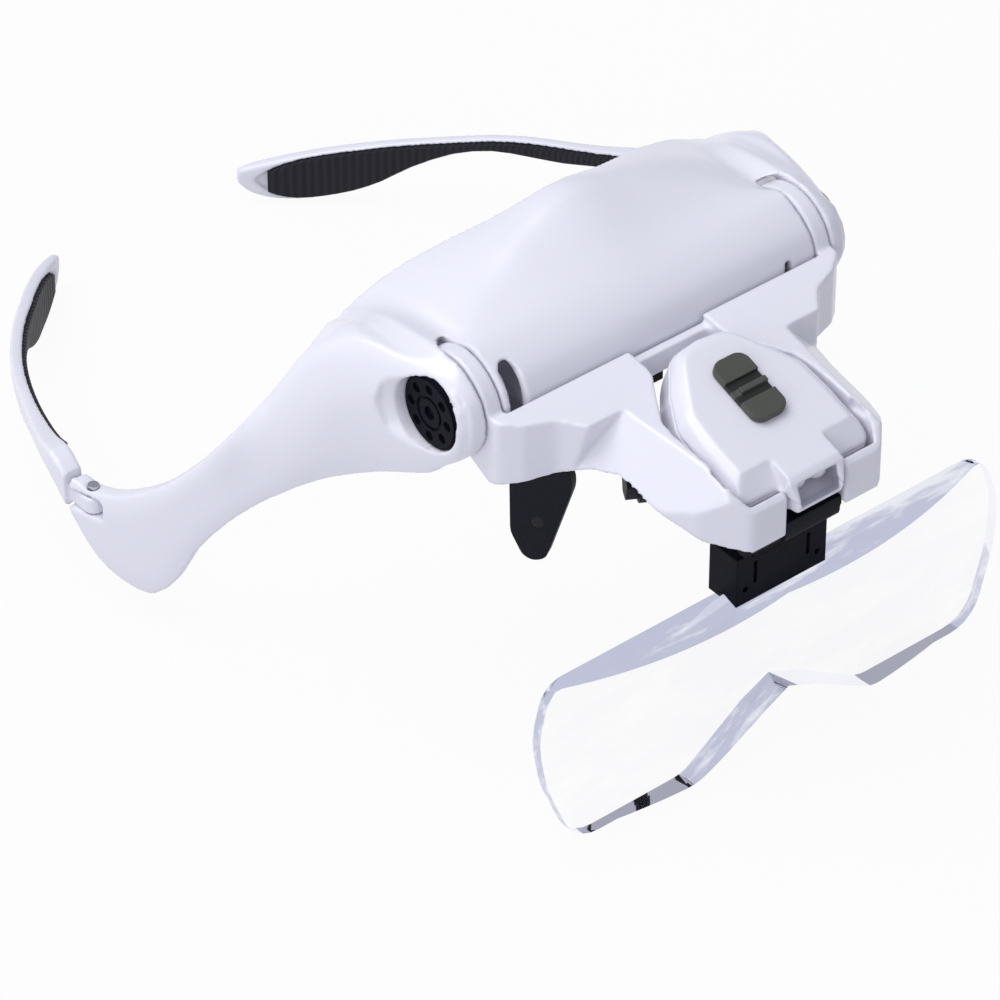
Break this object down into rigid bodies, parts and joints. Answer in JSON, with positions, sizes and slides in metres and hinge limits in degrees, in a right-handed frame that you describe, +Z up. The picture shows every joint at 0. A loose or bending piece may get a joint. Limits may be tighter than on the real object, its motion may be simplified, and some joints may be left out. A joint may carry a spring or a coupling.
{
  "type": "lighted headband magnifier",
  "caption": "Head-worn magnifier with a white visor, folding temple legs, a tilting carrier, a slide-switched lamp and a clear lens plate that flips up.",
  "frame": {"origin": "centre of the bounding box footprint, at the height of the lens plate's lower edge", "axes": "-Y is the front where the lens and lamp are, +X is the wearer's left, +Z is up"},
  "size_m": [0.1716, 0.2288, 0.0991],
  "materials": {
    "white_shell": "gloss",
    "liner": "satin",
    "black_plastic": "satin",
    "black_rubber": "matte",
    "steel": "satin",
    "brass": "satin",
    "washer": "matte",
    "board": "satin",
    "switch_black": "satin",
    "slider_grey": "satin",
    "led_clear": "gloss",
    "window_smoke": "gloss",
    "clear_acrylic": "gloss"
  },
  "bodies": {
    "visor": {"visor_shell": "white_shell", "inner_liner": "liner", "liner_screws": "steel", "nose_bridge": "black_plastic", "nose_bridge_screw": "steel", "pivot_bolt_left": "steel", "pivot_bolt_right": "steel", "pivot_nut_left": "steel", "pivot_nut_right": "steel", "pivot_cap_left": "black_plastic", "pivot_cap_right": "black_plastic", "friction_washer_left": "washer", "friction_washer_right": "washer", "temple_pin_left": "steel", "temple_pin_right": "steel"},
    "yoke": {"yoke_frame": "white_shell", "lamp_pin_left": "steel", "lamp_pin_right": "steel", "lens_mount": "black_plastic", "lens_mount_screws": "steel"},
    "lamp": {"lamp_base": "white_shell", "lamp_cover": "white_shell", "lamp_screws": "steel", "led_left": "led_clear", "led_right": "led_clear", "led_window": "window_smoke", "circuit_board": "board", "switch_body": "switch_black", "series_resistor": "board", "coin_cells": "steel", "contact_plus": "brass", "contact_minus": "brass", "battery_door": "white_shell"},
    "slider": {"switch_slider": "slider_grey"},
    "lens_unit": {"lens_bracket": "black_plastic", "lens": "clear_acrylic", "lens_hinge_pin": "steel"},
    "pad_left": {"nose_pad_left": "black_rubber", "nose_pad_pin_left": "steel"},
    "temple_left": {"temple_leg_left": "white_shell", "temple_insert_left": "black_rubber"},
    "pad_right": {"nose_pad_right": "black_rubber", "nose_pad_pin_right": "steel"},
    "temple_right": {"temple_leg_right": "white_shell", "temple_insert_right": "black_rubber"}
  },
  "joints": [
    {"name": "yoke_tilt", "type": "hinge", "parent": "visor", "child": "yoke", "pos_m": [0, -0.05412, 0.07845], "axis": [-1, 0, 0], "range_deg": [-8, 45]},
    {"name": "lamp_tilt", "type": "hinge", "parent": "yoke", "child": "lamp", "pos_m": [0, -0.10331, 0.06998], "axis": [1, 0, 0], "range_deg": [0, 10]},
    {"name": "switch_slide", "type": "slide", "parent": "lamp", "child": "slider", "axis": [0, -0.9494, -0.314], "range_m": [0, 0.003]},
    {"name": "lens_flip", "type": "hinge", "parent": "yoke", "child": "lens_unit", "pos_m": [0, -0.10412, 0.05595], "axis": [-1, 0, 0], "range_deg": [-10, 75]},
    {"name": "temple_fold_left", "type": "hinge", "parent": "visor", "child": "temple_left", "pos_m": [0.0818, 0.02088, 0.02455], "axis": [0, 0, 1], "range_deg": [0, 14]},
    {"name": "pad_rock_left", "type": "hinge", "parent": "visor", "child": "pad_left", "pos_m": [0.0144, -0.04392, 0.02565], "axis": [0.866, -0.5, 0], "range_deg": [-8, 8]},
    {"name": "temple_fold_right", "type": "hinge", "parent": "visor", "child": "temple_right", "pos_m": [-0.0818, 0.02088, 0.02455], "axis": [0, 0, -1], "range_deg": [0, 14]},
    {"name": "pad_rock_right", "type": "hinge", "parent": "visor", "child": "pad_right", "pos_m": [-0.0144, -0.04392, 0.02565], "axis": [-0.866, -0.5, 0], "range_deg": [-8, 8]}
  ]
}
